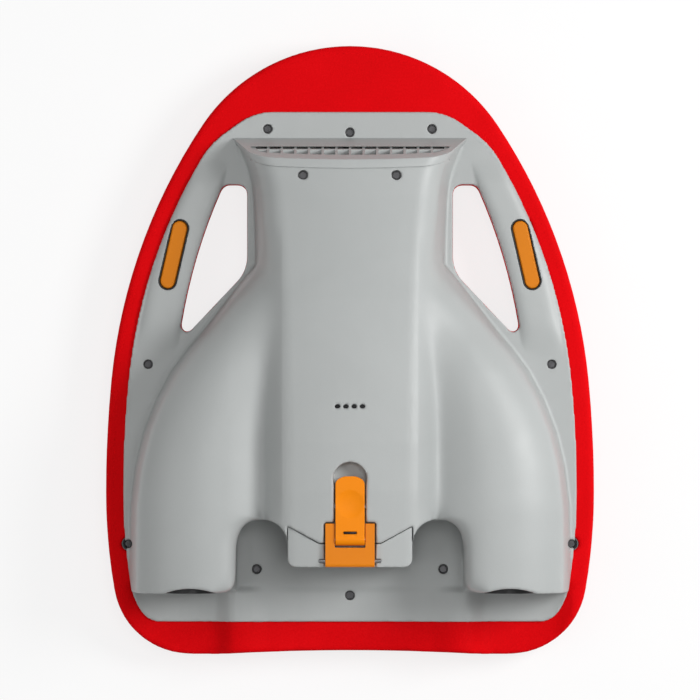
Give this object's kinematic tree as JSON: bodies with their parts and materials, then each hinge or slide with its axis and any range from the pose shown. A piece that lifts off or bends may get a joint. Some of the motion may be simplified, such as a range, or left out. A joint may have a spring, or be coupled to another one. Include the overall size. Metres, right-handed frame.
{
  "type": "jet-powered bodyboard",
  "caption": "Foam bodyboard with a moulded hull, front water intake, two rear jets, hand holes with triggers, and a latched sliding battery.",
  "frame": {"origin": "under the middle of the board, on the flat deck face that it lies on", "axes": "+Z out of the hull side, +Y to the nose, +X to the right as seen from above with the nose ahead; the board lies deck down, as for changing the battery or drying"},
  "size_m": [0.4816, 0.6, 0.154],
  "materials": {
    "foam": "soft closed-cell foam skin, matt",
    "tray_plastic": "moulded, matt",
    "hull_plastic": "moulded, fine satin",
    "black_plastic": "moulded, matt",
    "case_plastic": "moulded, satin",
    "seal_rubber": "smooth",
    "cell_wrap": "shrink wrap",
    "circuit_board": "solder mask",
    "pin_steel": "brushed",
    "screw_steel": "brushed",
    "frame_orange": "moulded, satin",
    "lever_orange": "moulded, satin",
    "trigger_orange": "moulded, satin",
    "lens_plastic": "smoked, clear",
    "heat_sink": "anodised",
    "motor_can": "potted and painted",
    "impeller_plastic": "glass-filled, satin"
  },
  "bodies": {
    "board": {"foam_deck": "foam", "deck_tray": "tray_plastic", "hull_shell": "hull_plastic", "intake_bezel": "hull_plastic", "intake_grille": "hull_plastic", "battery_bay": "tray_plastic", "bay_contacts": "black_plastic", "latch_keeper": "pin_steel", "indicator_lenses": "lens_plastic", "indicator_board": "circuit_board", "controller_case": "black_plastic", "controller_lid": "heat_sink", "hull_screws": "screw_steel", "intake_duct_right": "tray_plastic", "intake_duct_left": "tray_plastic", "pump_housing_right": "black_plastic", "pump_housing_left": "black_plastic", "jet_nozzle_right": "black_plastic", "jet_nozzle_left": "black_plastic", "stator_right": "black_plastic", "stator_left": "black_plastic", "motor_right": "motor_can", "motor_left": "motor_can", "shaft_bearing_right": "pin_steel", "shaft_bearing_left": "pin_steel", "trigger_switch_right": "black_plastic", "trigger_switch_left": "black_plastic"},
    "trigger_right": {"trigger_right": "trigger_orange"},
    "trigger_left": {"trigger_left": "trigger_orange"},
    "rotor_right": {"pump_shaft_right": "pin_steel", "impeller_right": "impeller_plastic", "spinner_right": "impeller_plastic"},
    "rotor_left": {"pump_shaft_left": "pin_steel", "impeller_left": "impeller_plastic", "spinner_left": "impeller_plastic"},
    "battery": {"battery_case": "case_plastic", "battery_cap": "hull_plastic", "cap_seal": "seal_rubber", "battery_cells": "cell_wrap", "battery_board": "circuit_board", "battery_terminals": "black_plastic", "frame_pin": "pin_steel"},
    "latch_frame": {"latch_frame": "frame_orange", "lever_pin": "pin_steel"},
    "latch_lever": {"latch_lever": "lever_orange"}
  },
  "joints": [
    {"name": "trigger_right_press", "type": "slide", "parent": "board", "child": "trigger_right", "axis": [0, 0, 1], "range_m": [-0.003, 0], "stiffness_N_per_m": 1500, "springref_m": 0.0015},
    {"name": "trigger_left_press", "type": "slide", "parent": "board", "child": "trigger_left", "axis": [0, 0, 1], "range_m": [-0.003, 0], "stiffness_N_per_m": 1500, "springref_m": 0.0015},
    {"name": "rotor_right_spin", "type": "hinge", "parent": "board", "child": "rotor_right", "pos_m": [0.156, -0.15, 0.086], "axis": [0, 1, 0], "continuous": true},
    {"name": "rotor_left_spin", "type": "hinge", "parent": "board", "child": "rotor_left", "pos_m": [-0.156, -0.15, 0.086], "axis": [0, 1, 0], "continuous": true},
    {"name": "battery_slide", "type": "slide", "parent": "board", "child": "battery", "axis": [0, -1, 0], "range_m": [0, 0.16]},
    {"name": "latch_frame_hinge", "type": "hinge", "parent": "battery", "child": "latch_frame", "pos_m": [0, -0.2055, 0.1455], "axis": [1, 0, 0], "range_deg": [0, 100]},
    {"name": "latch_lever_hinge", "type": "hinge", "parent": "latch_frame", "child": "latch_lever", "pos_m": [0, -0.1845, 0.148], "axis": [1, 0, 0], "range_deg": [0, 75]}
  ]
}
